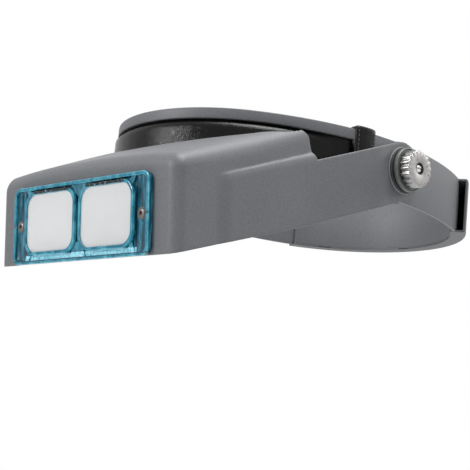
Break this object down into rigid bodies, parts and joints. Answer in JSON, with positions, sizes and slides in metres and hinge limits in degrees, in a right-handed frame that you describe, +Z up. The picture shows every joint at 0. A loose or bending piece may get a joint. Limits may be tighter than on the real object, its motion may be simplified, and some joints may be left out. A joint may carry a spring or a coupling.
{
  "type": "headband magnifier",
  "caption": "Head-worn magnifying visor: lenses in a clear tray on a hood that tilts on thumb-nut pivots, on an adjustable band with leather sweatband.",
  "frame": {"origin": "middle of the visor's pivot axis, level with the middle of the band's height", "axes": "+Z up, square to the plane of the band; the wearer faces -Y; +X towards the wearer's left"},
  "size_m": [0.1876, 0.2648, 0.0854],
  "materials": {
    "grey_plastic": "fine moulded texture",
    "dark_plastic": "satin",
    "leather": "fine grain",
    "rubber": "matt",
    "steel": "plated",
    "nickel": "nickel plate",
    "clear_blue": "clear moulded",
    "lens_glass": "polished"
  },
  "bodies": {
    "headband": {"headband": "grey_plastic", "sweatband": "leather", "sweatband_loop_left": "leather", "sweatband_loop_right": "leather", "pivot_bolt_left": "steel", "pivot_bolt_right": "steel", "friction_washer_left": "rubber", "friction_washer_right": "rubber"},
    "visor": {"visor_shell": "grey_plastic", "pivot_disc_left": "grey_plastic", "pivot_disc_right": "grey_plastic", "rubber_ring_left": "rubber", "rubber_ring_right": "rubber", "cup_washer_left": "dark_plastic", "cup_washer_right": "dark_plastic", "lens_frame": "clear_blue", "lens_left": "lens_glass", "lens_right": "lens_glass", "frame_screws": "steel", "frame_screw_washers": "dark_plastic", "frame_screw_nuts": "steel"},
    "nut_left": {"thumb_nut_left": "nickel"},
    "nut_right": {"thumb_nut_right": "nickel"},
    "strap_left": {"rear_strap_left": "grey_plastic"},
    "strap_right": {"rear_strap_right": "grey_plastic"},
    "sleeve": {"rear_housing": "grey_plastic", "rear_housing_cover": "grey_plastic", "lock_leaf": "steel", "button_spring": "steel"},
    "button": {"release_button": "dark_plastic"}
  },
  "joints": [
    {"name": "visor_tilt", "type": "hinge", "parent": "headband", "child": "visor", "pos_m": [0, 0, 0], "axis": [-1, 0, 0], "range_deg": [-12, 75]},
    {"name": "nut_turn_left", "type": "hinge", "parent": "headband", "child": "nut_left", "pos_m": [0.09, 0, 0], "axis": [1, 0, 0], "range_deg": [0, 720]},
    {"name": "nut_turn_right", "type": "hinge", "parent": "headband", "child": "nut_right", "pos_m": [-0.09, 0, 0], "axis": [-1, 0, 0], "range_deg": [0, 720]},
    {"name": "size_slide", "type": "slide", "parent": "headband", "child": "sleeve", "axis": [0, 1, 0], "range_m": [0, 0.015]},
    {"name": "strap_flex_left", "type": "hinge", "parent": "headband", "child": "strap_left", "pos_m": [0.07319, 0.04366, 0], "axis": [0, 0, 1], "range_deg": [-11.5, 0]},
    {"name": "strap_flex_right", "type": "hinge", "parent": "headband", "child": "strap_right", "pos_m": [-0.07319, 0.04366, 0], "axis": [0, 0, 1], "range_deg": [0, 11.5]},
    {"name": "button_press", "type": "slide", "parent": "sleeve", "child": "button", "axis": [0, -1, 0], "range_m": [0, 0.0015], "stiffness_N_per_m": 200, "springref_m": -0.001, "deforming": ["button_spring"]}
  ],
  "couplings": [
    {"joint": "strap_flex_left", "follows": "size_slide", "rad_per_m": -13.1},
    {"joint": "strap_flex_right", "follows": "size_slide", "rad_per_m": 13.1}
  ]
}
